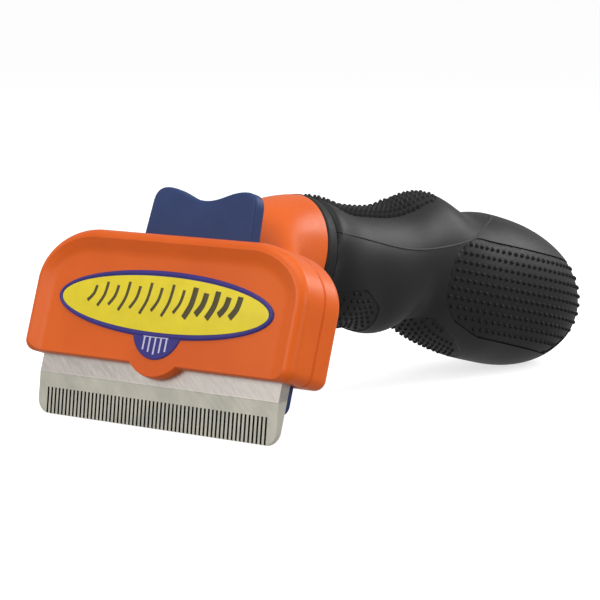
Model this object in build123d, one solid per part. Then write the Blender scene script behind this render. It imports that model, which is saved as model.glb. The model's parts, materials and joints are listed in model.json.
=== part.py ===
from build123d import *
import math
import os

# Deshedding tool for pets: a comb blade clamped in a two-shell casing, a sprung
# ejector that wipes the hair off the comb, and a soft-gripped handle.
# It is modelled as it rests on a table: comb tips and butt on Z = 0, the handle
# along +Y.  Lengths in millimetres, angles in degrees.
#
# Head frame: x across the comb, w up the comb from its tips, m out of its front.

# ---- comb blade ----
HEAD_TILT = 17.1           # the comb leans back by this much from upright
BLADE_WIDTH = 67.3
BLADE_THICK = 2.6
BLADE_TIP_THICK = 0.9
BEVEL_HEIGHT = 8.6
BLADE_CORNER = 3.0
TOOTH_PITCH = 1.1
TOOTH_COUNT = 56           # between the outermost slots
SLOT_WIDTH = 0.5
SLOT_DEPTH = 5.5

# ---- casing: front and rear shells ----
CASING_WIDTH = 75.6
CASING_BOTTOM = 12.6       # height w of the lower edge above the comb tips
CASING_HEIGHT = 27.6
FRONT_FACE = 6.0           # m of the front face
JOINT_FACE = -1.0          # m of the plane where the two shells meet
REAR_FACE = -6.8           # m of the back of the rear shell
WALL = 1.8
CORNER_W = 16.0            # top corners are quarter ellipses
CORNER_H = 12.0
LOW_CORNER = 2.4
FRONT_ROUND = 2.2
REAR_ROUND = 1.8
GROOVE = 0.35              # chamfer that shows as a groove between the shells
PANEL_INSET = 2.0          # from the outline to the crest round the sunk front panel
PANEL_DEPTH = 1.1
PANEL_WALL = 1.4           # behind the sunk panel
PANEL_SLOPE = 2.8          # width of the slope from the crest down to the panel
PANEL_SWEEP = 4.0          # radius at the foot of that slope
BUMP_CENTRE_W = 19.5
BUMP_RADIUS = 9.6

# ---- badge on the front panel ----
BADGE_W = 25.3
BADGE_HALF_LENGTH = 30.2
BADGE_HALF_HEIGHT = 7.1
LOBE_W = 20.7
LOBE_RADIUS = 7.0
BADGE_THICK = 0.7
BADGE_SINK = 0.45

# ---- ejector: plate behind the blade, thumb button, rivets ----
TRAVEL = 6.6
SLIDE_GAP = 0.2            # between the sliding plate and what it slides on
PLATE_THICK = 2.2
PLATE_EDGE = 6.4           # w of the plate's wiping edge at rest
PLATE_SHOULDER = 27.0      # above this the plate is narrower
PLATE_TOP = 36.6
PLATE_TOP_HALF = 26.5
EAR_X = 23.5               # each ear carries a return spring
EAR_WIDTH = 5.6
EAR_THICK = 1.4
BUTTON_HALF = 15.2
BUTTON_TOP_HALF = 14.6
BUTTON_LUMP_X = 11.0
BUTTON_LUMP_W = 51.5
BUTTON_SADDLE = 2.4        # how far the thumb hollow dips between the lumps
BUTTON_SHOULDER = 3.4      # height of the round outer shoulder of each lump
BUTTON_ROUND = 0.7
BUTTON_FRONT = -1.0
BUTTON_THICK = 3.1
BUTTON_FOOT = 25.0
BUTTON_GAP = 0.35
RIVET_X = 9.0
RIVET_W = 31.0
RIVET_RADIUS = 1.5

# ---- return springs, their guide pins and the end-stop bumpers ----
SPRING_RADIUS = 1.35       # to the wire's centre line
SPRING_WIRE = 0.4
SPRING_TURNS = 5
SPRING_SEAT = 26.4         # w of the ledge below each spring
SPRING_CLEAR = 0.15
GUIDE_RADIUS = 0.9
GUIDE_HEIGHT = 1.6
LEDGE_THICK = 1.4

# ---- casing screws and the posts they run in ----
SCREW_RADIUS = 1.25
HEAD_RADIUS = 2.3
HEAD_HEIGHT = 1.5
POST_RADIUS = 2.6
POST_GAP = 0.3
LOW_POST = (28.5, 20.0)    # x and w of the two lower posts, used on both sides
HIGH_POST = (31.0, 33.6)

# ---- neck and collar: the rear shell flares from an oval collar ----
COLLAR_HALF = 12.0
COLLAR_HALF_HEIGHT = 13.9
COLLAR_W = 43.5
COLLAR_FACE = -29.7
COLLAR_THICK = 3.7
COLLAR_PROUD = 0.25
NECK_WALL = 2.2
NECK_SECTIONS = (          # m, centre w, half width, half height
    (REAR_FACE, 27.8, 32.0, 12.0),
    (-10.2, 31.2, 26.0, 13.6),
    (-14.5, 35.6, 19.0, 14.4),
    (-21.0, 40.2, 13.9, 14.2),
    (-29.7, 43.5, 12.0, 13.9),
)

# ---- handle: oval sections, each leaning less than the one before ----
HANDLE_SECTIONS = (        # y, top z, bottom z, half width
    (53.0, 43.6, 17.3, 12.3),
    (61.0, 42.3, 15.5, 12.5),
    (68.5, 41.7, 13.2, 12.7),
    (75.0, 41.7, 13.9, 12.8),
    (80.0, 42.5, 15.4, 12.9),
    (85.5, 44.0, 11.6, 13.3),
    (90.0, 44.2, 8.9, 13.9),
    (95.5, 41.9, 6.7, 14.6),
    (102.5, 38.7, 4.2, 15.5),
    (110.0, 38.2, 2.3, 16.2),
    (118.0, 36.8, 0.6, 16.7),
    (126.0, 34.4, 0.0, 16.4),
    (133.5, 30.9, 1.1, 14.6),
    (139.5, 26.8, 3.9, 11.4),
    (143.5, 22.2, 8.0, 6.9),
)
HANDLE_END = 145.0
LEAN_ENDS = 70.0           # sections stand upright from this y on
BUTT_FROM = 112.0          # walls thicken evenly towards the end from here
SKIN = 2.4
PAD_SEAT = 1.3             # pads are let in to this depth below the skin
PAD_SINK = 0.25            # and their faces stand this far below it
SEAM = 0.07                # half of the gap that shows as a seam
SEAM_LINE = (              # y, z of the seam in the side view
    (38.0, 39.6), (46.2, 38.4), (57.8, 35.9), (72.0, 32.8), (81.0, 32.5),
    (92.0, 33.4), (102.5, 35.4), (109.0, 36.8), (116.0, 38.8),
)


# ---- soft pads: outlines y, z in the side view, and the thumb pad's plan ----
THUMB_PAD_Y = 70.0
THUMB_PAD_LENGTH = 43.0
THUMB_PAD_WIDTH = 13.0
THUMB_PAD_ROUND = 6.0
PALM_PAD = (
    (84.2, 20.5), (84.4, 28.6), (89.6, 32.6), (96.0, 33.8), (139.0, 24.3),
    (142.0, 17.5), (139.5, 9.0), (128.0, 2.8), (99.0, 9.9), (89.5, 14.8),
)
PALM_FRONT = 105.0         # corners before this y belong to the round front edge
PALM_GAP = 2.0             # between the two palm pads at the end of the butt
FINGER_PAD = ((45.0, 5.0), (45.0, 25.2), (55.5, 25.2), (62.5, 20.5), (66.8, 12.0), (66.8, 5.0))
BELLY_PAD = ((78.5, -4.0), (78.5, 16.2), (84.5, 15.8), (104.0, 3.4), (104.0, -4.0))
PAD_CORNER = 4.0
PAD_SWEEP = 8.0

# ---- tang of the neck inside the handle, and its screws ----
TANG_HALF = 6.0
TANG_LOW = 25.5
TANG_HEIGHT = 10.0
TANG_END = 98.0
BOSS_RADIUS = 3.8
TOP_SCREWS = (60.0, 84.0)
LOW_SCREWS = (57.0, 92.0)
SCREW_BITE = 5.0
COVER_GAP = 1.6            # between a screw's head and the pad over it


def head_place():
    """Location of the head frame: x across, y up the comb, z out of its front."""
    lean = math.radians(HEAD_TILT)
    front = (0, -math.cos(lean), math.sin(lean))
    return Plane(origin=(0, 0, 0), x_dir=(1, 0, 0), z_dir=front).location


HEAD = head_place()
SLIDE_BACK = -SLIDE_GAP - PLATE_THICK
BUTTON_BACK = BUTTON_FRONT - BUTTON_THICK
CASING_TOP = CASING_BOTTOM + CASING_HEIGHT


def slab(face, m_from, m_to):
    """A head-frame face as a plate between two values of m."""
    return extrude(Pos(0, 0, m_from) * face, m_to - m_from, dir=(0, 0, 1))


def post(x, w, radius, m_from, m_to):
    """A round post of the head frame, standing along m."""
    return slab(Pos(x, w) * Circle(radius), m_from, m_to)


def block(x, w_from, w_to, half_width, m_from, m_to):
    """A head-frame box centred on x."""
    middle = ((w_from + w_to) / 2, w_to - w_from)
    return slab(Pos(x, middle[0]) * Rectangle(2 * half_width, middle[1]), m_from, m_to)


def casing_face(inset, low=0.0):
    """Outline of the casing, moved in all round; low moves only its lower edge down."""
    half = CASING_WIDTH / 2 - inset
    bottom = CASING_BOTTOM + inset - low
    top = CASING_TOP - inset
    wide, high = CORNER_W - inset, CORNER_H - inset
    with BuildSketch() as sketch:
        with BuildLine():
            Line((-half, bottom), (half, bottom))
            Line((half, bottom), (half, top - high))
            EllipticalCenterArc((half - wide, top - high), wide, high, start_angle=0, arc_size=90)
            Line((half - wide, top), (-half + wide, top))
            EllipticalCenterArc((-half + wide, top - high), wide, high, start_angle=90, arc_size=90)
            Line((-half, top - high), (-half, bottom))
        make_face()
    return sketch.sketch


def outer_face():
    """Outline of the casing with its lower corners rounded."""
    face = casing_face(0)
    return fillet(face.vertices().group_by(Axis.Y)[0], LOW_CORNER)


def both_posts():
    """Places of the four casing posts."""
    return [(side * x, w) for x, w in (LOW_POST, HIGH_POST) for side in (-1, 1)]


# ---- front shell ----
def front_dish():
    """Space of the sunk front panel: sides that slope in gently, open at the lower edge."""
    rise = PANEL_DEPTH / 2
    low = CASING_BOTTOM
    floor = casing_face(PANEL_INSET + PANEL_SLOPE, low=low)
    mouth = casing_face(PANEL_INSET - PANEL_SLOPE / 2, low=low)
    dish = loft([Pos(0, 0, FRONT_FACE - PANEL_DEPTH) * floor, Pos(0, 0, FRONT_FACE + rise) * mouth])
    return fillet(dish.edges().group_by(Axis.Z)[0], PANEL_SWEEP)


def front_casing():
    bump = Pos(0, BUMP_CENTRE_W) * Circle(BUMP_RADIUS)
    shell = slab(outer_face() + bump, JOINT_FACE, FRONT_FACE)
    front_edges = shell.edges().group_by(Axis.Z)[-1]
    shell = fillet(front_edges, FRONT_ROUND)
    shell = chamfer(shell.edges().group_by(Axis.Z)[0], GROOVE)
    shell -= front_dish()
    shell -= slab(casing_face(WALL), JOINT_FACE - 1, FRONT_FACE - PANEL_DEPTH - PANEL_WALL)
    shell -= blade_slot()
    shell -= block(0, CASING_TOP - 3 * WALL, CASING_TOP + 5, BUTTON_HALF + BUTTON_GAP,
                   JOINT_FACE - 1, BUTTON_FRONT + BUTTON_GAP)
    for x, w in both_posts():
        seat = BLADE_THICK if w == LOW_POST[1] else JOINT_FACE
        shell += post(x, w, POST_RADIUS, seat, FRONT_FACE - WALL)
    for side in (-1, 1):
        shell += block(side * EAR_X, SPRING_SEAT - LEDGE_THICK, SPRING_SEAT, EAR_WIDTH / 2,
                       SLIDE_GAP, FRONT_FACE - WALL)
    for x, w in both_posts():
        shell -= post(x, w, SCREW_RADIUS, JOINT_FACE - 1, FRONT_FACE - WALL)
    return shell - badge_outline(0.0, FRONT_FACE - PANEL_DEPTH - BADGE_SINK, FRONT_FACE + 1)


def blade_slot():
    """Mouth in the lower edge where blade and ejector plate come out."""
    return block(0, CASING_BOTTOM - BUMP_RADIUS, CASING_BOTTOM + 2 * WALL, BLADE_WIDTH / 2 + 0.1,
                 JOINT_FACE - 2, BLADE_THICK)


# ---- rear shell with neck and tang ----
def neck(inset):
    """Flared neck as a loft of ovals along -m."""
    rings = [
        Pos(0, w, m) * Ellipse(half_width - inset, half_height - inset)
        for m, w, half_width, half_height in NECK_SECTIONS
    ]
    return loft(rings)


def tang():
    """Beam that the handle is screwed to, in the object's own frame."""
    start = -COLLAR_FACE * math.cos(math.radians(HEAD_TILT)) + 2
    length = TANG_END - start
    beam = Box(2 * TANG_HALF, length, TANG_HEIGHT, align=(Align.CENTER, Align.MIN, Align.MIN))
    beam = fillet(beam.edges().filter_by(Axis.Y), 1.5)
    return Pos(0, start, TANG_LOW) * beam


def rear_casing():
    shell = slab(outer_face(), REAR_FACE, JOINT_FACE)
    shell = chamfer(shell.edges().group_by(Axis.Z)[-1], GROOVE)
    shell = fillet(shell.edges().group_by(Axis.Z)[0], REAR_ROUND)
    shell += neck(0)
    shell -= neck(NECK_WALL) & slab(casing_face(-30), COLLAR_FACE + NECK_WALL, JOINT_FACE)
    shell -= slab(casing_face(WALL), BUTTON_BACK - 2 * SLIDE_GAP, JOINT_FACE + 1)
    shell -= block(0, CASING_BOTTOM - 5, CASING_BOTTOM + 2 * WALL, BLADE_WIDTH / 2 + 0.1,
                   SLIDE_BACK - SLIDE_GAP, JOINT_FACE + 1)
    shell -= block(0, CASING_TOP - 3 * WALL, CASING_TOP + 20, BUTTON_HALF + BUTTON_GAP,
                   BUTTON_BACK - BUTTON_GAP, JOINT_FACE + 1)
    for x, w in both_posts():
        end = 0.0 if w == LOW_POST[1] else JOINT_FACE
        shell += post(x, w, POST_RADIUS, REAR_FACE + WALL / 2, end)
    for x, w in both_posts():
        shell -= post(x, w, SCREW_RADIUS, REAR_FACE - 1, 1)
        shell -= post(x, w, HEAD_RADIUS + 0.1, REAR_FACE - 12, REAR_FACE + HEAD_HEIGHT + 0.2)
    shell = HEAD * shell + tang()
    for y in TOP_SCREWS:
        shell -= upright(y, SCREW_RADIUS, TANG_LOW + TANG_HEIGHT - SCREW_BITE, 60)
    for y in LOW_SCREWS:
        shell -= upright(y, SCREW_RADIUS, -20, TANG_LOW + SCREW_BITE)
    return shell


def casing_screws():
    screws = []
    for x, w in both_posts():
        head = post(x, w, HEAD_RADIUS, REAR_FACE + 0.2, REAR_FACE + 0.2 + HEAD_HEIGHT)
        recess = post(x, w, HEAD_RADIUS * 0.4, REAR_FACE, REAR_FACE + 0.2 + HEAD_HEIGHT / 2)
        shank = post(x, w, SCREW_RADIUS, REAR_FACE + 0.2 + HEAD_HEIGHT, FRONT_FACE - WALL - 0.4)
        screws.append(head - recess + shank)
    return Compound(screws)


# ---- comb blade ----
def comb_blade():
    half = BLADE_WIDTH / 2
    top = SPRING_SEAT - LEDGE_THICK - SLIDE_GAP
    outline = Pos(0, top / 2) * Rectangle(BLADE_WIDTH, top)
    corners = outline.vertices().group_by(Axis.Y)[0]
    blade = slab(fillet(corners, BLADE_CORNER), 0, BLADE_THICK)
    wedge = Polygon((BLADE_TIP_THICK, 0), (BLADE_THICK, BEVEL_HEIGHT), (BLADE_THICK + 3, BEVEL_HEIGHT),
                    (BLADE_THICK + 3, -3), (BLADE_TIP_THICK, -3), align=None)
    side = Plane(origin=(-half - 5, 0, 0), x_dir=(0, 0, 1), z_dir=(-1, 0, 0))
    blade -= extrude(side * wedge, 2 * half + 10, dir=(1, 0, 0))
    span = TOOTH_COUNT * TOOTH_PITCH
    slots = [
        Pos(-span / 2 + i * TOOTH_PITCH, SLOT_DEPTH / 2 - 1) * Rectangle(SLOT_WIDTH, SLOT_DEPTH + 2)
        for i in range(TOOTH_COUNT + 1)
    ]
    blade -= slab(Sketch() + slots, -1, BLADE_THICK + 1)
    for side in (-1, 1):
        blade -= post(side * LOW_POST[0], LOW_POST[1], SCREW_RADIUS, -1, BLADE_THICK + 1)
    return blade


# ---- badge ----
def badge_outline(inset, m_from, m_to):
    ellipse = Pos(0, BADGE_W) * Ellipse(BADGE_HALF_LENGTH - inset, BADGE_HALF_HEIGHT - inset)
    lobe = Pos(0, LOBE_W) * Circle(LOBE_RADIUS - inset)
    return slab(ellipse + lobe, m_from, m_to)


def badge():
    seat = FRONT_FACE - PANEL_DEPTH - BADGE_SINK
    plate = badge_outline(0.0, seat, seat + BADGE_THICK)
    return fillet(plate.edges().group_by(Axis.Z)[-1], 0.25)


# ---- ejector ----
def ejector_plate():
    half = BLADE_WIDTH / 2 - 0.1
    outline = Polygon((-half, PLATE_EDGE), (half, PLATE_EDGE), (half, PLATE_SHOULDER),
                      (PLATE_TOP_HALF, PLATE_SHOULDER), (PLATE_TOP_HALF, PLATE_TOP),
                      (-PLATE_TOP_HALF, PLATE_TOP), (-PLATE_TOP_HALF, PLATE_SHOULDER),
                      (-half, PLATE_SHOULDER), align=None)
    outline = fillet(outline.vertices().group_by(Axis.Y)[0], 2.0)
    plate = slab(outline, SLIDE_BACK, -SLIDE_GAP)
    wiping = plate.edges().group_by(Axis.Y)[0].sort_by(Axis.Z)[0]
    plate = chamfer(wiping, 1.2)
    for side in (-1, 1):
        x, w = side * LOW_POST[0], LOW_POST[1]
        radius = POST_RADIUS + POST_GAP
        plate -= block(x, w, w + TRAVEL, radius, SLIDE_BACK - 1, 1)
        plate -= post(x, w, radius, SLIDE_BACK - 1, 1)
        plate -= post(x, w + TRAVEL, radius, SLIDE_BACK - 1, 1)
        plate += block(side * EAR_X, PLATE_TOP - EAR_THICK, PLATE_TOP, EAR_WIDTH / 2,
                       SLIDE_BACK, BLADE_THICK + 0.6)
        plate -= post(side * RIVET_X, RIVET_W, RIVET_RADIUS, SLIDE_BACK - 1, 1)
    return plate


def ejector_button():
    shoulder = (BUTTON_TOP_HALF, BUTTON_LUMP_W - BUTTON_SHOULDER)
    lump = (BUTTON_LUMP_X, BUTTON_LUMP_W)
    hollow = (0, BUTTON_LUMP_W - BUTTON_SADDLE)
    with BuildSketch() as sketch:
        with BuildLine():
            Line((0, BUTTON_FOOT), (BUTTON_HALF, BUTTON_FOOT))
            Line((BUTTON_HALF, BUTTON_FOOT), (BUTTON_HALF, CASING_TOP))
            side = Line((BUTTON_HALF, CASING_TOP), shoulder)
            Spline(shoulder, lump, tangents=(side % 1, (-1, 0)))
            Spline(lump, hollow, tangents=((-1, 0), (-1, 0)))
            mirror(about=Plane.YZ)
        make_face()
    button = slab(sketch.sketch, BUTTON_BACK, BUTTON_FRONT)
    for end in (-1, 0):
        rim = button.edges().group_by(Axis.Z)[end]
        button = fillet(rim.filter_by(lambda edge: edge.center().Y > CASING_TOP), BUTTON_ROUND)
    button -= block(0, BUTTON_FOOT - 1, PLATE_TOP + BUTTON_GAP, BUTTON_HALF + 1, SLIDE_BACK, 1)
    for side in (-1, 1):
        button -= post(side * RIVET_X, RIVET_W, RIVET_RADIUS, BUTTON_BACK - 1, 1)
    return button


def button_rivets():
    rivets = [post(x, RIVET_W, RIVET_RADIUS, BUTTON_BACK, -SLIDE_GAP) for x in (-RIVET_X, RIVET_X)]
    return Compound(rivets)


# ---- springs, guides and bumpers ----
SPRING_M = (FRONT_FACE - WALL - PANEL_DEPTH - SLIDE_GAP) / 2


def return_spring(side):
    low = SPRING_SEAT + SPRING_WIRE / 2 + SPRING_CLEAR
    high = PLATE_TOP - EAR_THICK - SPRING_WIRE / 2 - SPRING_CLEAR
    path = Helix((high - low) / SPRING_TURNS, high - low, SPRING_RADIUS)
    start = Plane(origin=path @ 0, z_dir=path % 0)
    coil = sweep(start * Circle(SPRING_WIRE / 2), path)
    return Pos(side * EAR_X, low, SPRING_M) * (Rot(-90, 0, 0) * coil)


def spring_guides():
    up = Plane(origin=(0, SPRING_SEAT, 0), x_dir=(1, 0, 0), z_dir=(0, 1, 0))
    return Compound([
        Pos(x, 0, SPRING_M) * extrude(up * Circle(GUIDE_RADIUS), GUIDE_HEIGHT)
        for x in (-EAR_X, EAR_X)
    ])


def stop_bumpers():
    """Rubber blocks between the plate's ears and the inside of the casing's top wall."""
    room = slab(casing_face(WALL), SLIDE_GAP, BLADE_THICK)
    return Compound([
        room & block(x, PLATE_TOP + SLIDE_GAP, CASING_TOP, EAR_WIDTH / 2, SLIDE_GAP, BLADE_THICK)
        for x in (-EAR_X, EAR_X)
    ])


# ---- handle ----
def upright(y, radius, z_from, z_to):
    """A vertical cylinder on the object's middle plane."""
    return Pos(0, y, z_from) * Cylinder(radius, z_to - z_from, align=(Align.CENTER,) * 2 + (Align.MIN,))


def handle_sections():
    """Centre, lean, half width and half height of each handle section."""
    lean = math.radians(HEAD_TILT)
    back = COLLAR_FACE - COLLAR_THICK
    y = COLLAR_W * math.sin(lean) - back * math.cos(lean)
    z = COLLAR_W * math.cos(lean) + back * math.sin(lean)
    sections = [(y, z, HEAD_TILT, COLLAR_HALF, COLLAR_HALF_HEIGHT)]
    for at, top, bottom, half in HANDLE_SECTIONS:
        tilt = HEAD_TILT * max(0.0, (LEAN_ENDS - at) / (LEAN_ENDS - y))
        half_height = (top - bottom) / 2 / math.cos(math.radians(tilt))
        sections.append((at, (top + bottom) / 2, tilt, half, half_height))
    return sections


def handle_solid(depth):
    """The handle's outer shape, moved in by depth all round."""
    rings = []
    for y, z, tilt, half_width, half_height in handle_sections():
        near_end = max(0.0, (y - BUTT_FROM) / (HANDLE_END - BUTT_FROM))
        at = (0, y - depth * near_end, z)
        angle = math.radians(tilt)
        plane = Plane(origin=at, x_dir=(1, 0, 0), z_dir=(0, -math.cos(angle), math.sin(angle)))
        rings.append(plane * Ellipse(half_width - depth, half_height - depth))
    z_end = (HANDLE_SECTIONS[-1][1] + HANDLE_SECTIONS[-1][2]) / 2
    return loft(rings + [Vertex(0, HANDLE_END - depth, z_end)])


def side_prism(points, x_from, x_to, sweep_before=0.0):
    """A closed outline in the side view, its corners rounded, swept across the object.

    Corners before the y of sweep_before get the large radius.
    """
    side = Plane(origin=(x_from, 0, 0), x_dir=(0, 1, 0), z_dir=(1, 0, 0))
    face = Polygon(*points, align=None)
    if sweep_before:
        face = fillet(face.vertices().filter_by(lambda corner: corner.X < sweep_before), PAD_SWEEP)
    sharp = face.vertices().filter_by(lambda corner: corner.X > sweep_before)
    face = fillet(sharp.filter_by(lambda corner: not sweep_before or corner.X > 110), PAD_CORNER)
    return extrude(side * face, x_to - x_from, dir=(1, 0, 0))


def above_seam(shift):
    """Everything above the curved seam between the saddle and the main shell."""
    side = Plane(origin=(-30, 0, 0), x_dir=(0, 1, 0), z_dir=(1, 0, 0))
    points = [(y, z + shift) for y, z in SEAM_LINE]
    with BuildSketch() as sketch:
        with BuildLine():
            Spline(*points)
            Polyline(points[-1], (points[-1][0] + 1, 60), (points[0][0], 60), points[0])
        make_face()
    return extrude(side * sketch.sketch, 60, dir=(1, 0, 0))


def pads(layer):
    """The five soft pads, cut from a layer of the handle's shape."""
    thumb = RectangleRounded(THUMB_PAD_WIDTH, THUMB_PAD_LENGTH, THUMB_PAD_ROUND)
    thumb = Pos(0, THUMB_PAD_Y, TANG_LOW + TANG_HEIGHT) * extrude(thumb, 30)
    return {
        "thumb_pad": layer & thumb,
        "finger_pad": layer & side_prism(FINGER_PAD, -30, 30),
        "belly_pad": layer & side_prism(BELLY_PAD, -30, 30),
        "palm_pad_right": layer & side_prism(PALM_PAD, PALM_GAP / 2, 30, PALM_FRONT),
        "palm_pad_left": layer & side_prism(PALM_PAD, -30, -PALM_GAP / 2, PALM_FRONT),
    }


def handle():
    outer = handle_solid(0.0)
    seat = handle_solid(PAD_SEAT)
    shell = outer - handle_solid(SKIN)
    for pocket in pads(outer - seat).values():
        shell -= pocket
    saddle = shell & above_seam(SEAM)
    body = shell - above_seam(-SEAM)
    mid_wall = handle_solid((PAD_SEAT + SKIN) / 2)
    for y in TOP_SCREWS:
        saddle += upright(y, BOSS_RADIUS, TANG_LOW + TANG_HEIGHT, 60) & mid_wall
    for y in LOW_SCREWS:
        body += upright(y, BOSS_RADIUS, -20, TANG_LOW) & mid_wall
    saddle -= screws_space()
    body -= screws_space()
    soft = pads(handle_solid(PAD_SINK) - seat)
    return dict(handle_body=body, handle_saddle=saddle, **soft)


def screw_levels():
    """Height of the pad floor over each handle screw."""
    seat = handle_solid(PAD_SEAT)
    levels = {}
    for y in TOP_SCREWS + LOW_SCREWS:
        box = (upright(y, SCREW_RADIUS / 5, -20, 80) & seat).bounding_box()
        levels[y] = box.max.Z if y in TOP_SCREWS else box.min.Z
    return levels


def handle_screw(y, level, grow=0.0):
    """One handle screw; grow opens its head's pocket up to the pad floor."""
    top = y in TOP_SCREWS
    sign = 1 if top else -1
    head = level - sign * (COVER_GAP + HEAD_HEIGHT)
    tip = TANG_LOW + TANG_HEIGHT - SCREW_BITE if top else TANG_LOW + SCREW_BITE
    outer = head + sign * (HEAD_HEIGHT + (6 if grow else 0))
    cap = upright(y, HEAD_RADIUS + grow, min(head, outer), max(head, outer))
    return cap + upright(y, SCREW_RADIUS, min(head, tip), max(head, tip))


LEVELS = screw_levels()


def screws_space():
    return [handle_screw(y, level, grow=0.1) for y, level in LEVELS.items()]


def neck_collar():
    ring = Ellipse(COLLAR_HALF + COLLAR_PROUD, COLLAR_HALF_HEIGHT + COLLAR_PROUD)
    ring -= Ellipse(COLLAR_HALF - SKIN, COLLAR_HALF_HEIGHT - SKIN)
    ring = slab(Pos(0, COLLAR_W) * ring, COLLAR_FACE - COLLAR_THICK, COLLAR_FACE)
    outer = ring.edges().filter_by(GeomType.ELLIPSE).sort_by(SortBy.LENGTH)[-2:]
    return fillet(outer, 0.8)


# ---- assembly ----
nodes = {
    "front_casing": HEAD * front_casing(),
    "rear_casing": rear_casing(),
    "comb_blade": HEAD * comb_blade(),
    "badge": HEAD * badge(),
    "casing_screws": HEAD * casing_screws(),
    "ejector_plate": HEAD * ejector_plate(),
    "ejector_button": HEAD * ejector_button(),
    "button_rivets": HEAD * button_rivets(),
    "return_spring_right": HEAD * return_spring(1),
    "return_spring_left": HEAD * return_spring(-1),
    "spring_guides": HEAD * spring_guides(),
    "stop_bumpers": HEAD * stop_bumpers(),
    "neck_collar": HEAD * neck_collar(),
    "saddle_screws": Compound([handle_screw(y, LEVELS[y]) for y in TOP_SCREWS]),
    "tang_screws": Compound([handle_screw(y, LEVELS[y]) for y in LOW_SCREWS]),
    **handle(),
}

# The origin is the middle of the footprint, on the table.
whole = Compound(list(nodes.values())).bounding_box()
CENTRE = Pos(-(whole.min.X + whole.max.X) / 2, -(whole.min.Y + whole.max.Y) / 2, -whole.min.Z)

os.makedirs("parts", exist_ok=True)
for name, shape in nodes.items():
    export_step(CENTRE * shape, f"parts/{name}.step")
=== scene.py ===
import json
import math

import bpy
from mathutils import Matrix, Vector
from mathutils.bvhtree import BVHTree


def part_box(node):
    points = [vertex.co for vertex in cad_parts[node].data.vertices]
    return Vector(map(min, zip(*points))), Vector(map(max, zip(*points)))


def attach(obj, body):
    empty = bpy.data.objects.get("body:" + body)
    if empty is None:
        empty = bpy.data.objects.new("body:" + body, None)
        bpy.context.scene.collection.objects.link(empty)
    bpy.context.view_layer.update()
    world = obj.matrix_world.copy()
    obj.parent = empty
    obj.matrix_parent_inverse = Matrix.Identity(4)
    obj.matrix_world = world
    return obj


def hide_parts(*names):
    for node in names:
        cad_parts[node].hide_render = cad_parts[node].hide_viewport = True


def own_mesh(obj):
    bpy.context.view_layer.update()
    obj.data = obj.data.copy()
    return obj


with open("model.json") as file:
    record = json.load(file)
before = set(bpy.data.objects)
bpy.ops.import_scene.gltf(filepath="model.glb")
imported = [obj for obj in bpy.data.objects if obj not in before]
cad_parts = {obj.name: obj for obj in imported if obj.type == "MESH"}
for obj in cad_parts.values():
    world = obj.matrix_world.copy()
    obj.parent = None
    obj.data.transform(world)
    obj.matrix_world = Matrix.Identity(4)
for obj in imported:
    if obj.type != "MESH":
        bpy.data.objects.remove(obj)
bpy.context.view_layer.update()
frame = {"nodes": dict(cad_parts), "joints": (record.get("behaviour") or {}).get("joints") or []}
nodes = frame["nodes"]

# ---- table, light and camera ----
# The tool lies on a plain pale table under broad soft lamps, in a white room. The camera
# stands in front and to the right, and looks down a little on the head.
BLADE_THICK = 0.0026       # thickness of the comb's steel strip
head_axis = frame["joints"][0]["axis"]
head_lean = math.atan2(-head_axis[1], -head_axis[2])
blade_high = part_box("comb_blade")[1]
blade_rise = blade_high.z - BLADE_THICK * math.sin(head_lean)
tips_y = blade_high.y - blade_rise * math.tan(head_lean)   # where the blade's back meets the table

CAMERA_PLACE = Vector((0.36236, tips_y - 0.38534, 0.09006))
CAMERA_TURN = (math.radians(83.19), math.radians(-0.14), math.radians(40.0))
CAMERA_LENS = 154.9
TABLE_SIZE = 400.0
TABLE_COLOUR = (0.62, 0.62, 0.62, 1.0)
TABLE_GLOW = 0.70
ROOM_GLOW = 0.45
WHITE = (1, 1, 1, 1)

bpy.ops.object.select_all(action="DESELECT")
bpy.ops.object.camera_add(location=CAMERA_PLACE, rotation=CAMERA_TURN)
camera = bpy.context.object
camera.data.lens = CAMERA_LENS
camera.data.sensor_width = 36.0
bpy.context.scene.camera = camera
bpy.context.scene.view_settings.view_transform = "Standard"


def table_finish():
    """Pale matte board, lit through from below like a light table."""
    finish = bpy.data.materials.new("pale_table")
    finish.use_nodes = True
    shader = finish.node_tree.nodes["Principled BSDF"]
    shader.inputs["Base Color"].default_value = TABLE_COLOUR
    shader.inputs["Roughness"].default_value = 0.8
    shader.inputs["Specular IOR Level"].default_value = 0.0
    shader.inputs["Emission Color"].default_value = WHITE
    shader.inputs["Emission Strength"].default_value = TABLE_GLOW
    return finish


bpy.ops.mesh.primitive_plane_add(size=TABLE_SIZE, location=(0, 0, 0))
table = bpy.context.object
table.name = "table"
table.data.materials.append(table_finish())
table.visible_diffuse = False
table.visible_glossy = False


def lamp(name, place, aim, width, height, watts):
    """Soft rectangular studio lamp pointed at aim."""
    turn = (Vector(aim) - Vector(place)).to_track_quat("-Z", "Y").to_euler()
    bpy.ops.object.light_add(type="AREA", location=place, rotation=turn)
    light = bpy.context.object
    light.name = name
    light.data.shape = "RECTANGLE"
    light.data.size, light.data.size_y = width, height
    light.data.energy = watts


lamp("lamp_over", (0.05, -0.15, 0.75), (0, 0, 0), 0.7, 0.5, 2.4)
lamp("lamp_front", (-0.25, -0.8, 0.45), (0, -0.03, 0.02), 0.6, 0.5, 2.6)
lamp("lamp_side", (0.75, -0.1, 0.35), (0, 0, 0.02), 0.4, 0.5, 1.6)
lamp("lamp_back", (0.35, 0.6, 0.45), (0.02, 0.05, 0.03), 0.6, 0.3, 3.2)

world = bpy.data.worlds.new("white_room")
bpy.context.scene.world = world
world.use_nodes = True
world.node_tree.nodes["Background"].inputs["Color"].default_value = WHITE
world.node_tree.nodes["Background"].inputs["Strength"].default_value = ROOM_GLOW

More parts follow.
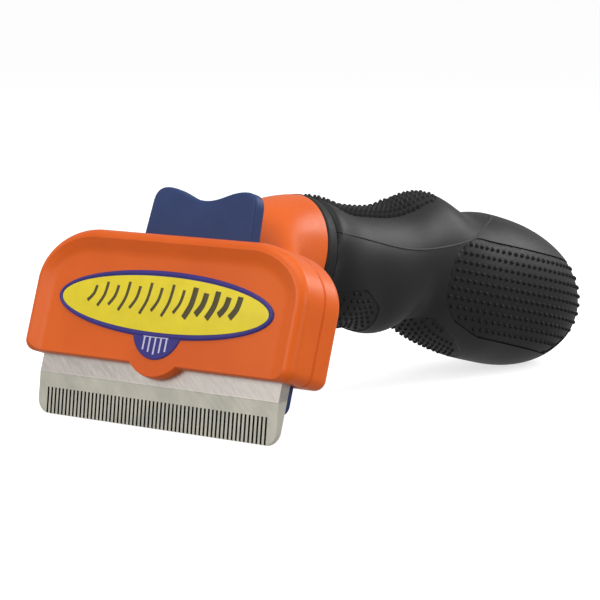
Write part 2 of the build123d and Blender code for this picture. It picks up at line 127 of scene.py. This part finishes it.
# ---- casing: front shell, and rear shell with neck and tang ----
# Two injection mouldings in one bright plastic, glossy on the rounded edges and
# finely orange-peeled on the flats, screwed together from behind.
CASING_ORANGE = (0.77, 0.128, 0.010, 1.0)
CASING_ORANGE_DEEP = (0.69, 0.106, 0.007, 1.0)
CASING_SCATTER = (0.8, 0.25, 0.08)     # red light goes furthest into the plastic
SHALLOW_EDGE = math.radians(32)        # CAD faces that meet at less are shaded as one


def new_finish(name):
    """A material with its shader, and the piece's own coordinates to pattern by."""
    finish = bpy.data.materials.new(name)
    finish.use_nodes = True
    tree = finish.node_tree
    place = tree.nodes.new("ShaderNodeTexCoord")
    return finish, tree, tree.nodes["Principled BSDF"], place.outputs["Object"]


def noise(tree, where, scale, detail=2.0, roughness=0.5):
    """Cloudy pattern; scale is in patches per metre."""
    node = tree.nodes.new("ShaderNodeTexNoise")
    node.inputs["Scale"].default_value = scale
    node.inputs["Detail"].default_value = detail
    node.inputs["Roughness"].default_value = roughness
    tree.links.new(where, node.inputs["Vector"])
    return node.outputs["Fac"]


def spread(tree, value, low, high, to_low, to_high):
    """Value rescaled from one range to another, and kept inside it."""
    node = tree.nodes.new("ShaderNodeMapRange")
    for socket, number in zip(node.inputs[1:5], (low, high, to_low, to_high)):
        socket.default_value = number
    tree.links.new(value, node.inputs["Value"])
    return node.outputs["Result"]


def tint(tree, value, low, high):
    """Colour between low and high, by value."""
    node = tree.nodes.new("ShaderNodeMix")
    node.data_type = "RGBA"
    sockets = [socket for socket in node.inputs if socket.type == "RGBA"]
    for socket, colour in zip(sockets, (low, high)):
        if isinstance(colour, tuple):
            socket.default_value = colour
        else:
            tree.links.new(colour, socket)
    tree.links.new(value, node.inputs["Factor"])
    return [socket for socket in node.outputs if socket.type == "RGBA"][0]


def relief(tree, shader, value, depth, strength=1.0):
    """Fine surface relief of this depth in metres."""
    node = tree.nodes.new("ShaderNodeBump")
    node.inputs["Strength"].default_value = strength
    node.inputs["Distance"].default_value = depth
    tree.links.new(value, node.inputs["Height"])
    tree.links.new(node.outputs["Normal"], shader.inputs["Normal"])


def casing_finish():
    """Bright moulded plastic."""
    finish, tree, shader, where = new_finish("casing_plastic")
    cloud = spread(tree, noise(tree, where, 45.0), 0.35, 0.65, 0.0, 1.0)
    colour = tint(tree, cloud, CASING_ORANGE, CASING_ORANGE_DEEP)
    tree.links.new(colour, shader.inputs["Base Color"])
    peel = noise(tree, where, 900.0)
    tree.links.new(spread(tree, peel, 0.3, 0.7, 0.30, 0.40), shader.inputs["Roughness"])
    relief(tree, shader, peel, 0.00002, 0.6)
    shader.inputs["Specular IOR Level"].default_value = 0.25
    shader.inputs["Subsurface Weight"].default_value = 0.12
    shader.inputs["Subsurface Radius"].default_value = CASING_SCATTER
    shader.inputs["Subsurface Scale"].default_value = 0.001
    return finish


def pick(piece):
    """Selects one object and nothing else."""
    bpy.ops.object.select_all(action="DESELECT")
    piece.select_set(True)
    bpy.context.view_layer.objects.active = piece


def dress(names, finish):
    """Gives CAD nodes a finish and smooth shading across their shallow edges."""
    for name in names:
        node = nodes[name]
        node.data.materials.clear()
        node.data.materials.append(finish)
        pick(node)
        bpy.ops.object.shade_smooth_by_angle(angle=SHALLOW_EDGE)


dress(["front_casing", "rear_casing", "spring_guides"], casing_finish())

# ---- badge: blue plate, yellow field, raised rim and printed motifs ----
# A moulded oval plate let into the front panel. The field, the strokes and the small
# comb sign are printed films on it, and the rim is a raised bead.
BADGE_MID = 0.0253         # height of the oval's middle up the comb
BADGE_HALF = (0.0302, 0.0071)
BADGE_FACE = 0.00515       # how far its face stands in front of the blade's back
BADGE_RIM = 0.0012         # width of the raised rim
FIELD_SINK = 0.00004       # the field starts this far under the face
FIELD_THICK = 0.00010
FIELD_STEP = 0.0002        # width of the slope round its edge
FIELD_CROWN = 0.00003      # its middle stands this much above its edge
RIM_SHARE = 0.5            # the rim is this high for its width
PRINT_SHARE = 0.16         # and a printed stroke this high for its own
STRANDS_UP = 0.0010        # the strands' middle above the oval's
STRANDS_PROUD = 0.00009    # and their height above the face, on the field
SIGN_HEIGHT = 0.0172       # height of the comb sign up the comb, on the lobe
SIGN_PROUD = 0.00002
BADGE_BLUE = (0.040, 0.032, 0.230, 1.0)
BADGE_BLUE_DEEP = (0.032, 0.026, 0.185, 1.0)
BADGE_YELLOW = (0.84, 0.68, 0.025, 1.0)
BADGE_YELLOW_DEEP = (0.76, 0.60, 0.020, 1.0)
STROKE_BROWN = (0.080, 0.066, 0.022, 1.0)
STROKE_BROWN_DEEP = (0.0688, 0.0568, 0.0189, 1.0)
SIGN_PALE = (0.62, 0.58, 0.78, 1.0)
SIGN_PALE_DEEP = (0.5332, 0.4988, 0.6708, 1.0)
PIECE_EDGE = math.radians(40)          # new pieces are shaded smooth across less than this
head_tilt = Matrix.Rotation(math.pi / 2 - head_lean, 4, "X")
head_place = Matrix.Translation((0, tips_y, 0)) @ head_tilt


def film_finish(name, low, high, roughness=0.35):
    """Printed or moulded colour with faint mottling under a clear gloss."""
    finish, tree, shader, where = new_finish(name)
    cloud = spread(tree, noise(tree, where, 260.0, 4.0), 0.3, 0.7, 0.0, 1.0)
    tree.links.new(tint(tree, cloud, low, high), shader.inputs["Base Color"])
    grain = noise(tree, where, 2200.0)
    tree.links.new(spread(tree, grain, 0.3, 0.7, roughness, roughness + 0.1),
                   shader.inputs["Roughness"])
    relief(tree, shader, grain, 0.00001, 0.4)
    shader.inputs["Specular IOR Level"].default_value = 0.3
    return finish


badge_blue = film_finish("badge_blue", BADGE_BLUE, BADGE_BLUE_DEEP, 0.28)
dress(["badge"], badge_blue)


def settle(piece, name, finish, place=Matrix.Identity(4)):
    """Moves a new piece's place into its mesh, names it, and fixes it to the tool."""
    piece.data.transform(place @ piece.matrix_world)
    piece.matrix_world = Matrix.Identity(4)
    piece.name = name
    piece.data.name = name
    piece.data.materials.clear()
    piece.data.materials.append(finish)
    pick(piece)
    bpy.ops.object.shade_smooth_by_angle(angle=PIECE_EDGE)
    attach(piece, "tool")
    return piece


def lay_on_badge(piece, name, finish, height, proud):
    """Lays a flat piece on the badge, this high up the comb and this far above the face."""
    piece.location = (0, height, BADGE_FACE + proud)
    bpy.context.view_layer.update()
    settle(piece, name, finish, head_place)


def made_mesh():
    """Turns the curve just made into a mesh object and returns it."""
    bpy.ops.object.convert(target="MESH")
    return bpy.context.object


def flatten(piece, share):
    """Squeezes a piece's thickness to this share of it, about its own middle."""
    bpy.ops.object.mode_set(mode="EDIT")
    bpy.ops.mesh.select_all(action="SELECT")
    bpy.ops.transform.resize(value=(1, 1, share), center_override=(0, 0, 0))
    bpy.ops.object.mode_set(mode="OBJECT")


# the raised rim
bpy.ops.object.select_all(action="DESELECT")
bpy.ops.curve.primitive_bezier_circle_add(radius=1.0)
rim = bpy.context.object
rim.scale = (BADGE_HALF[0] - BADGE_RIM / 2, BADGE_HALF[1] - BADGE_RIM / 2, 1)
bpy.ops.object.transform_apply(location=False, rotation=False, scale=True)
rim.data.resolution_u = 40
rim.data.bevel_depth = BADGE_RIM / 2
rim.data.bevel_resolution = 5
rim.data.use_radius = False
rim = made_mesh()
flatten(rim, RIM_SHARE)
lay_on_badge(rim, "badge_rim", badge_blue, BADGE_MID, 0)

# the yellow field, with a soft step at its edge
bpy.ops.object.select_all(action="DESELECT")
bpy.ops.mesh.primitive_circle_add(vertices=160, radius=1.0, fill_type="NGON")
field = bpy.context.object
field.scale = (BADGE_HALF[0] - BADGE_RIM, BADGE_HALF[1] - BADGE_RIM, 1)
bpy.ops.object.transform_apply(location=False, rotation=False, scale=True)
bpy.ops.object.mode_set(mode="EDIT")
bpy.ops.mesh.select_all(action="SELECT")
bpy.ops.mesh.extrude_region_move(TRANSFORM_OT_translate={"value": (0, 0, FIELD_THICK)})
bpy.ops.mesh.inset(thickness=FIELD_STEP, depth=0)
bpy.ops.transform.translate(value=(0, 0, FIELD_CROWN))
bpy.ops.mesh.select_all(action="SELECT")
bpy.ops.mesh.normals_make_consistent(inside=False)
bpy.ops.object.mode_set(mode="OBJECT")
badge_yellow = film_finish("badge_yellow", BADGE_YELLOW, BADGE_YELLOW_DEEP, 0.3)
lay_on_badge(field, "badge_field", badge_yellow, BADGE_MID, -FIELD_SINK)


def bead(points, radius, steps):
    """Round capped bead along a smooth curve, with this many steps to each point."""
    bpy.ops.object.select_all(action="DESELECT")
    bpy.ops.curve.primitive_nurbs_path_add()
    path = bpy.context.object
    path.data.splines.clear()
    spline = path.data.splines.new("NURBS")
    spline.points.add(len(points) - 1)
    for point, (x, y, z) in zip(spline.points, points):
        point.co = (x, y, z, 1)
    spline.use_endpoint_u = True
    spline.order_u = 3
    path.data.resolution_u = steps
    path.data.bevel_depth = radius
    path.data.bevel_resolution = 2
    path.data.use_fill_caps = True
    path.data.use_radius = False
    return made_mesh()


def stroke(points, width):
    """Flat printed stroke of this width through points on the badge's face."""
    print_line = bead([(x, y, 0) for x, y in points], width / 2, 8)
    flatten(print_line, PRINT_SHARE)
    return print_line


def joined(pieces):
    """One object from several."""
    pick(pieces[0])
    for piece in pieces:
        piece.select_set(True)
    bpy.ops.object.join()
    return bpy.context.object


# combed strands of hair, fine on the left and heavy on the right, every other one short
STRAND_PITCH = 0.0031
STRAND_COUNT = 14
HEAVY_COUNT = 5
STRAND_TALL = 0.0034       # half height of the middle ones
STRAND_FIELD = 0.0270      # half width of the oval that their ends keep to
SHORT_SHARE = 0.74
STRAND_BEND = ((-0.0013, -1.0), (-0.0002, -0.45), (0.0005, 0.2), (0.0007, 1.0))
FINE_WIDTH, HEAVY_WIDTH = 0.00080, 0.00150
strands = []
for index in range(STRAND_COUNT):
    x = (index - (STRAND_COUNT - 1) / 2) * STRAND_PITCH
    share = 1.0 if index % 2 else SHORT_SHARE
    tall = STRAND_TALL * math.sqrt(1 - (x / STRAND_FIELD) ** 2) * share
    width = FINE_WIDTH if index < STRAND_COUNT - HEAVY_COUNT else HEAVY_WIDTH
    strands.append(stroke([(x + shift, up * tall) for shift, up in STRAND_BEND], width))
stroke_brown = film_finish("stroke_brown", STROKE_BROWN, STROKE_BROWN_DEEP, 0.4)
lay_on_badge(joined(strands), "badge_strands", stroke_brown, BADGE_MID + STRANDS_UP,
             STRANDS_PROUD)

# a small comb sign on the lobe: its back, and five teeth that follow the lobe's curve
SIGN_HALF = 0.0035
SIGN_TOP = 0.0014
SIGN_TEETH = 5
SIGN_PITCH = 0.00155
SIGN_ROOT = 0.0012         # where the teeth start, inside the back
SIGN_REACH = 0.0024        # how far down the middle tooth goes
SIGN_STEP = 0.0004         # and how much less the next ones do
BACK_WIDTH, TOOTH_WIDTH = 0.00060, 0.00045
sign = [stroke([(-SIGN_HALF, SIGN_TOP), (0, SIGN_TOP), (SIGN_HALF, SIGN_TOP)], BACK_WIDTH)]
for index in range(SIGN_TEETH):
    offset = index - SIGN_TEETH // 2
    x = offset * SIGN_PITCH
    tip = -SIGN_REACH + SIGN_STEP * abs(offset)
    sign.append(stroke([(x, SIGN_ROOT), (x, 0), (x, tip)], TOOTH_WIDTH))
sign_pale = film_finish("sign_pale", SIGN_PALE, SIGN_PALE_DEEP, 0.4)
lay_on_badge(joined(sign), "badge_sign", sign_pale, SIGN_HEIGHT, SIGN_PROUD)

# ---- comb blade ----
# Stainless strip, flat-ground and scratched on the slant above, with a smoother
# bevel down to its toothed edge.
STEEL = (0.62, 0.575, 0.53, 1.0)
STEEL_DARK = (0.47, 0.44, 0.41, 1.0)
BEVEL_STEEL = (0.78, 0.75, 0.64, 1.0)
BEVEL_STEEL_DULL = (0.66, 0.64, 0.55, 1.0)
# near-black painted shade for the slot walls, standing in for the shade deep in the narrow slots
SLOT_PAINTED_SHADE = (0.035, 0.030, 0.026, 1.0)
SLOT_SPAN = 0.0318         # the slots lie within this distance of the middle
BEVEL_TOP = 0.00895        # height z where the bevel begins
BEVEL_BLEND = 0.0003
SCRATCH_SLANT = math.radians(38)
SCRATCH_SIZE = (0.012, 0.0007, 0.0005)


def blade_finish():
    """Ground steel: slanted scratches above the bevel, and near-black painted shade on the walls
    in the slots.
    """
    finish, tree, shader, where = new_finish("ground_steel")
    turn = tree.nodes.new("ShaderNodeMapping")
    turn.inputs["Rotation"].default_value = (0, SCRATCH_SLANT, 0)
    turn.vector_type = "TEXTURE"
    turn.inputs["Scale"].default_value = SCRATCH_SIZE
    tree.links.new(where, turn.inputs["Vector"])
    scratch = noise(tree, turn.outputs["Vector"], 1.0, 6.0, 0.65)
    upper = tint(tree, spread(tree, scratch, 0.35, 0.65, 0, 1), STEEL_DARK, STEEL)
    cloud = noise(tree, where, 160.0, 4.0)
    lower = tint(tree, spread(tree, cloud, 0.35, 0.65, 0, 1), BEVEL_STEEL, BEVEL_STEEL_DULL)
    parts = tree.nodes.new("ShaderNodeSeparateXYZ")
    tree.links.new(where, parts.inputs["Vector"])
    zone = spread(tree, parts.outputs["Z"], BEVEL_TOP - BEVEL_BLEND, BEVEL_TOP + BEVEL_BLEND, 0, 1)
    ground = tint(tree, zone, lower, upper)
    facing = tree.nodes.new("ShaderNodeNewGeometry")
    sides = tree.nodes.new("ShaderNodeSeparateXYZ")
    tree.links.new(facing.outputs["Normal"], sides.inputs["Vector"])
    sideways = tree.nodes.new("ShaderNodeMath")
    sideways.operation = "ABSOLUTE"
    tree.links.new(sides.outputs["X"], sideways.inputs[0])
    offset = tree.nodes.new("ShaderNodeMath")
    offset.operation = "ABSOLUTE"
    tree.links.new(parts.outputs["X"], offset.inputs[0])
    wall = spread(tree, sideways.outputs["Value"], 0.6, 0.8, 0, 1)
    inner = spread(tree, offset.outputs["Value"], SLOT_SPAN, SLOT_SPAN + 0.0002, 1, 0)
    # mask of sideways-facing faces inside the toothed span: the slot walls, which get painted
    # shade
    slot_shade_mask = tree.nodes.new("ShaderNodeMath")
    slot_shade_mask.operation = "MULTIPLY"
    tree.links.new(wall, slot_shade_mask.inputs[0])
    tree.links.new(inner, slot_shade_mask.inputs[1])
    colour = tint(tree, slot_shade_mask.outputs["Value"], ground, SLOT_PAINTED_SHADE)
    tree.links.new(colour, shader.inputs["Base Color"])
    tree.links.new(spread(tree, scratch, 0.3, 0.7, 0.34, 0.5), shader.inputs["Roughness"])
    relief(tree, shader, scratch, 0.00001, 0.5)
    shader.inputs["Metallic"].default_value = 1.0
    return finish


dress(["comb_blade"], blade_finish())

# ---- ejector: plate, button and rivets ----
# The sliding plate and the thumb button are navy mouldings, satin with a fine spark
# grain, held to each other by two rivets.
NAVY = (0.014, 0.034, 0.125, 1.0)
NAVY_PALE = (0.019, 0.042, 0.145, 1.0)


def ejector_finish():
    """Satin navy plastic."""
    finish, tree, shader, where = new_finish("navy_plastic")
    cloud = spread(tree, noise(tree, where, 120.0, 4.0), 0.35, 0.65, 0.0, 1.0)
    tree.links.new(tint(tree, cloud, NAVY, NAVY_PALE), shader.inputs["Base Color"])
    grain = noise(tree, where, 2500.0)
    tree.links.new(spread(tree, grain, 0.3, 0.7, 0.42, 0.55), shader.inputs["Roughness"])
    relief(tree, shader, grain, 0.00002, 0.5)
    shader.inputs["Specular IOR Level"].default_value = 0.3
    return finish


dress(["ejector_plate", "ejector_button"], ejector_finish())

# ---- screws and rivets ----
# Zinc-plated steel. The casing's four screws show at the back of the head, the rest are
# hidden.
ZINC = (0.55, 0.55, 0.56, 1.0)
ZINC_DULL = (0.40, 0.40, 0.41, 1.0)


def zinc_finish():
    """Bright plated steel."""
    finish, tree, shader, where = new_finish("zinc_steel")
    cloud = noise(tree, where, 800.0)
    tree.links.new(tint(tree, cloud, ZINC, ZINC_DULL), shader.inputs["Base Color"])
    tree.links.new(spread(tree, cloud, 0.3, 0.7, 0.25, 0.4), shader.inputs["Roughness"])
    shader.inputs["Metallic"].default_value = 1.0
    return finish


zinc_steel = zinc_finish()
dress(["casing_screws", "button_rivets", "saddle_screws", "tang_screws"], zinc_steel)

# ---- return springs ----
# Drawn-wire compression springs under the ejector plate's ears, copied from the CAD coils
# in their rest shape; the copies don't close up towards the ledges that they stand on as the
# ejector comes down.
MERGE = 0.000002           # corners nearer than this are one


def loose_copy(node_name):
    """A node's mesh as a new merged piece in the same place."""
    base = nodes[node_name]
    piece = base.copy()
    piece.data = base.data.copy()
    piece.parent = None
    piece.matrix_world = Matrix.Identity(4)
    bpy.context.collection.objects.link(piece)
    pick(piece)
    bpy.ops.object.mode_set(mode="EDIT")
    bpy.ops.mesh.select_all(action="SELECT")
    bpy.ops.mesh.remove_doubles(threshold=MERGE)
    bpy.ops.object.mode_set(mode="OBJECT")
    return piece


up_comb = Vector((0, math.sin(head_lean), math.cos(head_lean)))
for side in ("left", "right"):
    spring = settle(loose_copy("return_spring_" + side), "spring_coil_" + side, zinc_steel)
    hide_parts("return_spring_" + side)
    heights = [vertex.co.dot(up_comb) for vertex in spring.data.vertices]
    tall = max(heights) - min(heights)
    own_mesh(spring)

# ---- collar and bumpers ----
# A black rubber ring between neck and handle, and two small rubber stops inside.
RUBBER = (0.006, 0.0055, 0.006, 1.0)
RUBBER_PALE = (0.010, 0.0095, 0.010, 1.0)


def rubber_finish(name, low, high):
    """Matte rubber with a fine bloom."""
    finish, tree, shader, where = new_finish(name)
    grain = noise(tree, where, 1800.0, 3.0)
    tree.links.new(tint(tree, grain, low, high), shader.inputs["Base Color"])
    tree.links.new(spread(tree, grain, 0.3, 0.7, 0.45, 0.6), shader.inputs["Roughness"])
    relief(tree, shader, grain, 0.00002, 0.5)
    shader.inputs["Specular IOR Level"].default_value = 0.25
    return finish


dress(["neck_collar", "stop_bumpers"], rubber_finish("black_rubber", RUBBER, RUBBER_PALE))

# ---- handle shells ----
# Two nylon shells with a soft-touch skin, closed on each other along a curved seam
# that shows as a fine raised line, painted a paler grey as a highlight along it.
SKIN_GREY = (0.013, 0.013, 0.0135, 1.0)
SKIN_PALE = (0.016, 0.016, 0.0165, 1.0)
# the raised line's paler grey is a painted highlight, standing in for the light its edges catch
SEAM_HIGHLIGHT = (0.045, 0.045, 0.046, 1.0)
SEAM_HIGHLIGHT_DEEP = (0.0387, 0.0387, 0.0396, 1.0)
SEAM_BEAD = 0.00024        # radius of the raised line
SEAM_LIFT = -0.00004       # its middle lies just under the skin
SEAM_STEPS = 34
SEAM_ENDS = (0.0008, 0.0012)           # how far short of the saddle's ends it stops
SEAM_RANGE = (0.030, 0.042)            # heights between which the seam runs
OUTSIDE, INWARD = 0.05, 0.049          # where a sideways ray starts, and its length


def skin_finish(name, low, high):
    """Soft-touch dark plastic."""
    finish, tree, shader, where = new_finish(name)
    cloud = spread(tree, noise(tree, where, 60.0, 3.0), 0.35, 0.65, 0, 1)
    tree.links.new(tint(tree, cloud, low, high), shader.inputs["Base Color"])
    grain = noise(tree, where, 3200.0)
    tree.links.new(spread(tree, grain, 0.3, 0.7, 0.40, 0.50), shader.inputs["Roughness"])
    relief(tree, shader, grain, 0.000012, 0.5)
    shader.inputs["Specular IOR Level"].default_value = 0.24
    return finish


handle_skin = skin_finish("handle_skin", SKIN_GREY, SKIN_PALE)
dress(["handle_body", "handle_saddle"], handle_skin)


def surface(name):
    """Search tree over one CAD node."""
    mesh = nodes[name].data
    corners = [vertex.co for vertex in mesh.vertices]
    return BVHTree.FromPolygons(corners, [face.vertices for face in mesh.polygons])


body_skin = surface("handle_body")
saddle_low, saddle_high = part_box("handle_saddle")
leftward = Vector((-1, 0, 0))


def mirrored(place):
    """The same point or direction on the tool's other side."""
    return Vector((-place.x, place.y, place.z))


def seam_height(y):
    """Height of the seam at y: the upper edge of the main shell on the right."""
    low, high = SEAM_RANGE
    for _ in range(24):
        middle = (low + high) / 2
        hit = body_skin.ray_cast(Vector((OUTSIDE, y, middle)), leftward, INWARD)[0]
        low, high = (middle, high) if hit is not None else (low, middle)
    return low


def seam_point(y):
    """Point on the handle's right side, on the seam."""
    z = seam_height(y)
    edge = body_skin.ray_cast(Vector((OUTSIDE, y, z - 0.00003)), leftward, INWARD)[0]
    return Vector((edge.x + SEAM_LIFT, y, z + 0.00005))


# seam bead: right side from the collar to the butt's top, and back on the left
first, last = saddle_low.y + SEAM_ENDS[0], saddle_high.y - SEAM_ENDS[1]
right = [seam_point(first + (last - first) * step / SEAM_STEPS) for step in range(SEAM_STEPS + 1)]
left = [mirrored(point) for point in reversed(right)]
end = Vector((0, saddle_high.y + 0.0001, right[-1].z))
hit = body_skin.ray_cast(Vector((0, saddle_high.y + 0.0002, 0.08)), Vector((0, 0, -1)), 0.08)[0]
if hit is not None:
    end.z = hit.z
# the bead takes the paler grey as a painted highlight
seam_highlight = skin_finish("seam_highlight", SEAM_HIGHLIGHT, SEAM_HIGHLIGHT_DEEP)
settle(bead(right + [end] + left, SEAM_BEAD, 4), "seam_bead", seam_highlight)

# ---- soft pads ----
# Rubber inserts let into the handle, covered with rows of small moulded nubs. The
# thumb pad's nubs are pointed, the others are low round studs.
PAD_BLACK = (0.010, 0.010, 0.010, 1.0)
PAD_GREY = (0.014, 0.014, 0.014, 1.0)
# the nubs are the pads' own rubber; their darker colour is painted shade, standing in for the
# shade on their sides
NUB_SHADE_BLACK = (0.004, 0.004, 0.004, 1.0)
NUB_SHADE_GREY = (0.008, 0.008, 0.008, 1.0)
NUB_SIDES = 8
NUB_ROOT = 0.0002          # how far a nub's foot is sunk in its pad
PALM_NUB = (0.00062, 0.00040, 0.00040)      # radius at the foot, radius at the top, height
STUD_NUB = (0.00052, 0.00032, 0.00035)
POINT_NUB = (0.00070, 0.00028, 0.00085)
LOW_NUB = (0.00070, 0.00030, 0.00045)
pad_rubber = rubber_finish("pad_rubber", PAD_BLACK, PAD_GREY)
nub_shade_rubber = rubber_finish("nub_shade_rubber", NUB_SHADE_BLACK, NUB_SHADE_GREY)


def nub(radius, top, height):
    """One moulded nub with a stepped crown, standing on the origin and open below."""
    bpy.ops.object.select_all(action="DESELECT")
    bpy.ops.mesh.primitive_cone_add(vertices=NUB_SIDES, radius1=radius, radius2=top,
                                    depth=height + NUB_ROOT, end_fill_type="NGON",
                                    location=(0, 0, (height - NUB_ROOT) / 2))
    piece = bpy.context.object
    bpy.ops.object.transform_apply(location=True, rotation=True, scale=True)
    bpy.ops.object.mode_set(mode="EDIT")
    bpy.ops.mesh.select_all(action="DESELECT")
    bpy.ops.object.mode_set(mode="OBJECT")
    for face in piece.data.polygons:
        face.select = face.normal.z > 0.9
    bpy.ops.object.mode_set(mode="EDIT")
    bpy.ops.mesh.select_mode(type="FACE")
    bpy.ops.mesh.inset(thickness=top * 0.5, depth=top * 0.35)
    bpy.ops.mesh.select_all(action="DESELECT")
    bpy.ops.object.mode_set(mode="OBJECT")
    for face in piece.data.polygons:
        face.select = face.normal.z < -0.9
    bpy.ops.object.mode_set(mode="EDIT")
    bpy.ops.mesh.delete(type="ONLY_FACE")
    bpy.ops.object.mode_set(mode="OBJECT")
    return piece


def copies(pattern, seats):
    """Copies of one nub, each with its own mesh, one on every seat."""
    made = []
    for point, normal in seats:
        piece = pattern.copy()
        piece.data = pattern.data.copy()
        turn = normal.to_track_quat("Z", "Y").to_matrix().to_4x4()
        piece.data.transform(Matrix.Translation(point) @ turn)
        bpy.context.collection.objects.link(piece)
        made.append(piece)
    bpy.data.objects.remove(pattern)
    return made


RAY_START = 0.15           # well outside the object
PROBE_LIFT = 0.0008        # a probe starts this far above the pad's face
PROBE_REACH = 0.002
SAME_FACE = 0.8            # least cosine between the normals of one face
FACES_MOULD = 0.2          # and least cosine to the mould for a nub to come out of it


def clear_of_edge(skin, point, normal, margin):
    """Whether a pad's face reaches this far round a point on it."""
    side = normal.orthogonal().normalized()
    other = normal.cross(side)
    for step in (side, -side, other, -other):
        probe = point + step * margin + normal * PROBE_LIFT
        near, near_normal, _, _ = skin.ray_cast(probe, -normal, PROBE_REACH)
        if near is None or near_normal.dot(normal) < SAME_FACE:
            return False
    return True


def grid_seats(node_name, across, along, pitch, margin, stagger=0.0):
    """Seats on a square grid, laid out as seen along across, the way the mould opens."""
    skin = surface(node_name)
    low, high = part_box(node_name)
    rise = across.cross(along).normalized()
    corners = [Vector((x, y, z)) for x in (low.x, high.x) for y in (low.y, high.y)
               for z in (low.z, high.z)]
    along_range = [corner.dot(along) for corner in corners]
    rise_range = [corner.dot(rise) for corner in corners]
    seats = []
    rows = int((max(rise_range) - min(rise_range)) / pitch) + 1
    columns = int((max(along_range) - min(along_range)) / pitch) + 1
    for row in range(rows):
        for column in range(columns + 1):
            start = (along * (min(along_range) + (column + stagger * (row % 2)) * pitch)
                     + rise * (min(rise_range) + (row + 0.5) * pitch) + across * RAY_START)
            point, normal, _, _ = skin.ray_cast(start, -across, 2 * RAY_START)
            if point is None or normal.dot(across) < FACES_MOULD:
                continue
            if clear_of_edge(skin, point, normal, margin):
                seats.append((point, normal))
    return seats


def nubbed(node_name, name, nubs):
    """A pad with its nubs, in place of the CAD's plain one."""
    pad = loose_copy(node_name)
    plain = len(pad.data.polygons)
    pad = joined([pad] + nubs)
    settle(pad, name, pad_rubber)
    # the nubs take the darker rubber as painted shade
    pad.data.materials.append(nub_shade_rubber)
    for face in pad.data.polygons:
        face.material_index = 0 if face.index < plain else 1
    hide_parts(node_name)


rightward, backward, upward = Vector((1, 0, 0)), Vector((0, 1, 0)), Vector((0, 0, 1))

# the palm pads' rows run along the handle, falling a little towards the butt
PALM_PITCH = 0.0021
PALM_MARGIN = 0.0008
PALM_FALL = 0.21
palm_along = Vector((0, math.cos(PALM_FALL), -math.sin(PALM_FALL)))
right_seats = grid_seats("palm_pad_right", rightward, palm_along, PALM_PITCH, PALM_MARGIN)
left_seats = [(mirrored(point), mirrored(normal)) for point, normal in right_seats]
nubbed("palm_pad_right", "palm_grip_right", copies(nub(*PALM_NUB), right_seats))
nubbed("palm_pad_left", "palm_grip_left", copies(nub(*PALM_NUB), left_seats))

# the finger pad curves round the handle, so each half has a grid of its own
STUD_PITCH = 0.0018
STUD_MARGIN = 0.0007
FINGER_SIDE, FINGER_DROP = 0.75, -0.66
FINGER_SPLIT = 0.0009      # no nub is nearer than this to the line between the halves
finger_seats = []
for side in (-1, 1):
    out = Vector((side * FINGER_SIDE, 0.0, FINGER_DROP)).normalized()
    half = grid_seats("finger_pad", out, backward, STUD_PITCH, STUD_MARGIN)
    finger_seats += [seat for seat in half if seat[0].x * side > FINGER_SPLIT]
nubbed("finger_pad", "finger_grip", copies(nub(*STUD_NUB), finger_seats))

# the belly pad faces forward and down
belly_out = Vector((0, -0.55, -0.83)).normalized()
belly_along = Vector((0, 0.83, -0.55)).normalized()
belly_seats = grid_seats("belly_pad", belly_out, belly_along, STUD_PITCH, STUD_MARGIN)
nubbed("belly_pad", "belly_grip", copies(nub(*STUD_NUB), belly_seats))

# the thumb pad's rows are staggered; its nubs are pointed in front of the hump and low behind
THUMB_PITCH = 0.00175
THUMB_MARGIN = 0.0007
HUMP_Y = tips_y + 0.0825
thumb_seats = grid_seats("thumb_pad", upward, backward, THUMB_PITCH, THUMB_MARGIN, stagger=0.5)
front_seats = [seat for seat in thumb_seats if seat[0].y < HUMP_Y]
rear_seats = [seat for seat in thumb_seats if seat[0].y >= HUMP_Y]
low_nubs = copies(nub(*LOW_NUB), rear_seats)
nubbed("thumb_pad", "thumb_grip", copies(nub(*POINT_NUB), front_seats) + low_nubs)
